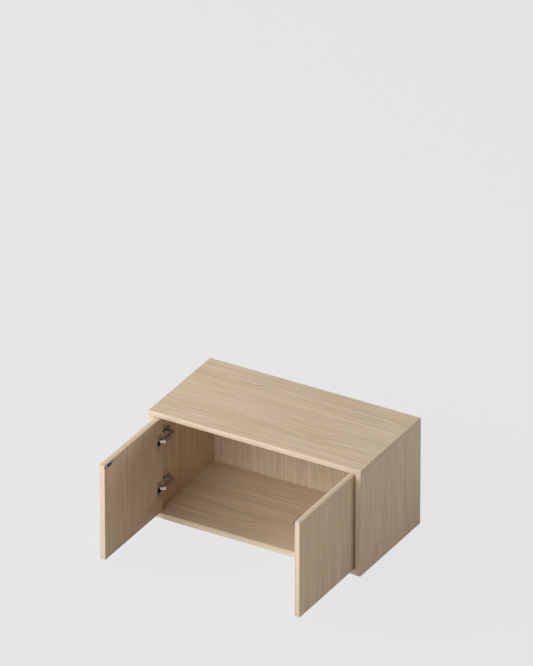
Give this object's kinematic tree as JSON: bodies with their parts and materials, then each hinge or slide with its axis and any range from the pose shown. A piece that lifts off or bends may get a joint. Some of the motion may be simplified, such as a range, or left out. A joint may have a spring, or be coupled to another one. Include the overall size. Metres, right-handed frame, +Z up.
{
  "type": "desktop cabinet",
  "caption": "Low wooden desktop cabinet, open inside, with side-hung inset doors on concealed cup hinges and push latches under its top.",
  "frame": {"origin": "centre of the cabinet's underside, midway between its front and rear planes", "axes": "+X to the right seen from the front, +Y to the back, +Z up"},
  "size_m": [0.8, 0.7575, 0.4],
  "materials": {
    "laminate": "light oak grain, satin laminate",
    "edge_band": "fine lengthwise stripes, satin",
    "beech": "plain turned beech",
    "hinge_steel": "nickel-plated pressed steel",
    "nickel_plate": "bright nickel plate",
    "dark_steel": "dark zinc plate",
    "latch_plastic": "moulded, matt",
    "plunger_plastic": "moulded, matt",
    "spring_steel": "drawn wire"
  },
  "bodies": {
    "cabinet": {"top_panel": "laminate", "bottom_panel": "laminate", "left_side_panel": "laminate", "right_side_panel": "laminate", "back_panel": "laminate", "top_edge_band": "edge_band", "bottom_edge_band": "edge_band", "left_side_edge_band": "edge_band", "right_side_edge_band": "edge_band", "dowels": "beech", "back_screws": "nickel_plate", "left_upper_hinge_arm": "hinge_steel", "left_upper_mounting_plate": "hinge_steel", "left_lower_hinge_arm": "hinge_steel", "left_lower_mounting_plate": "hinge_steel", "right_upper_hinge_arm": "hinge_steel", "right_upper_mounting_plate": "hinge_steel", "right_lower_hinge_arm": "hinge_steel", "right_lower_mounting_plate": "hinge_steel", "left_arm_screws": "nickel_plate", "left_arm_pins": "nickel_plate", "left_plate_screws": "nickel_plate", "left_latch_housing": "latch_plastic", "left_latch_end_cap": "latch_plastic", "left_latch_spring": "spring_steel", "left_latch_screws": "nickel_plate", "right_arm_screws": "nickel_plate", "right_arm_pins": "nickel_plate", "right_plate_screws": "nickel_plate", "right_latch_housing": "latch_plastic", "right_latch_end_cap": "latch_plastic", "right_latch_spring": "spring_steel", "right_latch_screws": "nickel_plate"},
    "left_door": {"left_door_panel": "laminate", "left_door_edge_band": "edge_band", "left_upper_hinge_cup": "hinge_steel", "left_lower_hinge_cup": "hinge_steel", "left_cup_screws": "nickel_plate", "left_strike_plate": "dark_steel", "left_strike_screws": "nickel_plate"},
    "left_outer_links": {"left_upper_outer_link": "nickel_plate", "left_lower_outer_link": "nickel_plate", "left_outer_link_pins": "nickel_plate"},
    "left_inner_links": {"left_inner_links": "nickel_plate", "left_inner_link_pins": "nickel_plate"},
    "left_latch_plunger": {"left_latch_plunger": "plunger_plastic"},
    "right_door": {"right_door_panel": "laminate", "right_door_edge_band": "edge_band", "right_upper_hinge_cup": "hinge_steel", "right_lower_hinge_cup": "hinge_steel", "right_cup_screws": "nickel_plate", "right_strike_plate": "dark_steel", "right_strike_screws": "nickel_plate"},
    "right_outer_links": {"right_upper_outer_link": "nickel_plate", "right_lower_outer_link": "nickel_plate", "right_outer_link_pins": "nickel_plate"},
    "right_inner_links": {"right_inner_links": "nickel_plate", "right_inner_link_pins": "nickel_plate"},
    "right_latch_plunger": {"right_latch_plunger": "plunger_plastic"}
  },
  "joints": [
    {"name": "left_door_hinge", "type": "hinge", "parent": "cabinet", "child": "left_door", "pos_m": [-0.36823, -0.19125, 0.2], "axis": [0, 0, -1], "range_deg": [-90, 10]},
    {"name": "left_outer_link_hinge", "type": "hinge", "parent": "cabinet", "child": "left_outer_links", "pos_m": [-0.34548, -0.1855, 0.2], "axis": [0, 0, 1], "range_deg": [-47, 5.5]},
    {"name": "left_inner_link_hinge", "type": "hinge", "parent": "cabinet", "child": "left_inner_links", "pos_m": [-0.35098, -0.1825, 0.2], "axis": [0, 0, 1], "range_deg": [-25.5, 3]},
    {"name": "left_latch_slide", "type": "slide", "parent": "cabinet", "child": "left_latch_plunger", "axis": [0, 1, 0], "range_m": [0, 0.004], "stiffness_N_per_m": 300, "springref_m": -0.003, "deforming": ["left_latch_spring"]},
    {"name": "right_door_hinge", "type": "hinge", "parent": "cabinet", "child": "right_door", "pos_m": [0.36823, -0.19125, 0.2], "axis": [0, 0, 1], "range_deg": [-90, 10]},
    {"name": "right_outer_link_hinge", "type": "hinge", "parent": "cabinet", "child": "right_outer_links", "pos_m": [0.34548, -0.1855, 0.2], "axis": [0, 0, -1], "range_deg": [-47, 5.5]},
    {"name": "right_inner_link_hinge", "type": "hinge", "parent": "cabinet", "child": "right_inner_links", "pos_m": [0.35098, -0.1825, 0.2], "axis": [0, 0, -1], "range_deg": [-25.5, 3]},
    {"name": "right_latch_slide", "type": "slide", "parent": "cabinet", "child": "right_latch_plunger", "axis": [0, 1, 0], "range_m": [0, 0.004], "stiffness_N_per_m": 300, "springref_m": -0.003, "deforming": ["right_latch_spring"]}
  ],
  "couplings": [
    {"joint": "left_outer_link_hinge", "follows": "left_door_hinge", "ratio": 0.51847},
    {"joint": "left_inner_link_hinge", "follows": "left_door_hinge", "ratio": 0.28018},
    {"joint": "right_outer_link_hinge", "follows": "right_door_hinge", "ratio": 0.51847},
    {"joint": "right_inner_link_hinge", "follows": "right_door_hinge", "ratio": 0.28018}
  ]
}
